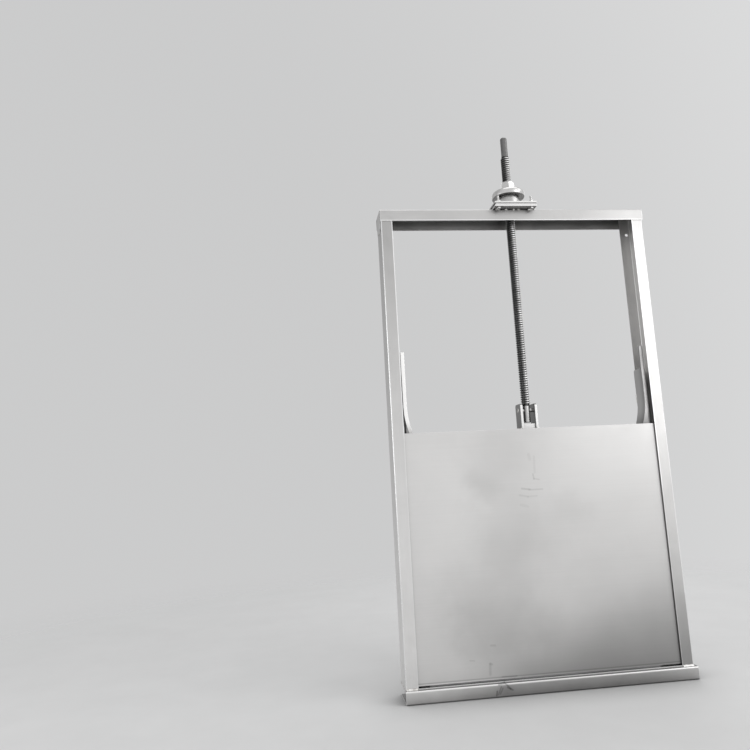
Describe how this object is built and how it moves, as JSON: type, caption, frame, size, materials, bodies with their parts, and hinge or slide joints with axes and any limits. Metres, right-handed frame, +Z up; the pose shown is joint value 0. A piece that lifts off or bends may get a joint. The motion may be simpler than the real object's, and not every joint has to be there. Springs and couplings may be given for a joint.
{
  "type": "sluice gate",
  "caption": "Stainless sluice gate with a folded frame, a sliding leaf between curved guide rails and a rising screwed stem worked by a nut on the top beam.",
  "frame": {"origin": "on the underside of the sill, midway across, in the plane of the posts' front faces", "axes": "+X to the right seen from the front, +Y to the back, +Z up along the stem"},
  "size_m": [1.215, 0.19, 2.4],
  "materials": {
    "frame_sheet": "bead blasted stainless sheet",
    "leaf_sheet": "mill finished stainless sheet",
    "rail_steel": "stainless flat bar, sawn edges",
    "machined_steel": "turned stainless",
    "lug_steel": "ground stainless bar",
    "bolt_steel": "bright stainless fasteners",
    "stem_steel": "dark rolled thread, lightly greased",
    "slide_plastic": "sliding grade polyethylene",
    "seal_rubber": "moulded rubber"
  },
  "bodies": {
    "frame": {"left_post": "frame_sheet", "right_post": "frame_sheet", "sill_beam": "frame_sheet", "sill_seat": "frame_sheet", "top_beam": "frame_sheet", "left_guide_rail": "rail_steel", "right_guide_rail": "rail_steel", "left_rail_backing": "rail_steel", "right_rail_backing": "rail_steel", "left_rail_web": "rail_steel", "right_rail_web": "rail_steel", "left_rail_gussets": "rail_steel", "right_rail_gussets": "rail_steel", "left_side_seal": "seal_rubber", "right_side_seal": "seal_rubber", "beam_pad_plate": "machined_steel", "spacer_plate": "machined_steel", "bearing_base_plate": "machined_steel", "plate_bolts": "bolt_steel", "nut_housing": "machined_steel"},
    "nut": {"lifting_nut": "machined_steel", "nut_cap": "machined_steel"},
    "leaf": {"leaf_skin": "leaf_sheet", "leaf_top_flange": "leaf_sheet", "leaf_bottom_flange": "leaf_sheet", "left_leaf_side": "leaf_sheet", "right_leaf_side": "leaf_sheet", "upper_leaf_rib": "leaf_sheet", "middle_leaf_rib": "leaf_sheet", "lower_leaf_rib": "leaf_sheet", "left_lug_rib": "leaf_sheet", "right_lug_rib": "leaf_sheet", "left_slide_bar": "slide_plastic", "right_slide_bar": "slide_plastic", "leaf_bottom_seal": "seal_rubber", "left_lug": "lug_steel", "right_lug": "lug_steel", "lug_block": "lug_steel", "cross_pin": "bolt_steel", "stem": "stem_steel"}
  },
  "joints": [
    {"name": "leaf_lift", "type": "slide", "parent": "frame", "child": "leaf", "axis": [0, 0, 1], "range_m": [0, 0.86]},
    {"name": "nut_turn", "type": "hinge", "parent": "frame", "child": "nut", "pos_m": [0, 0.055, 2.17], "axis": [0, 0, 1], "range_deg": [-31000, 0]}
  ],
  "couplings": [
    {"joint": "nut_turn", "follows": "leaf_lift", "rad_per_m": -628.32}
  ]
}
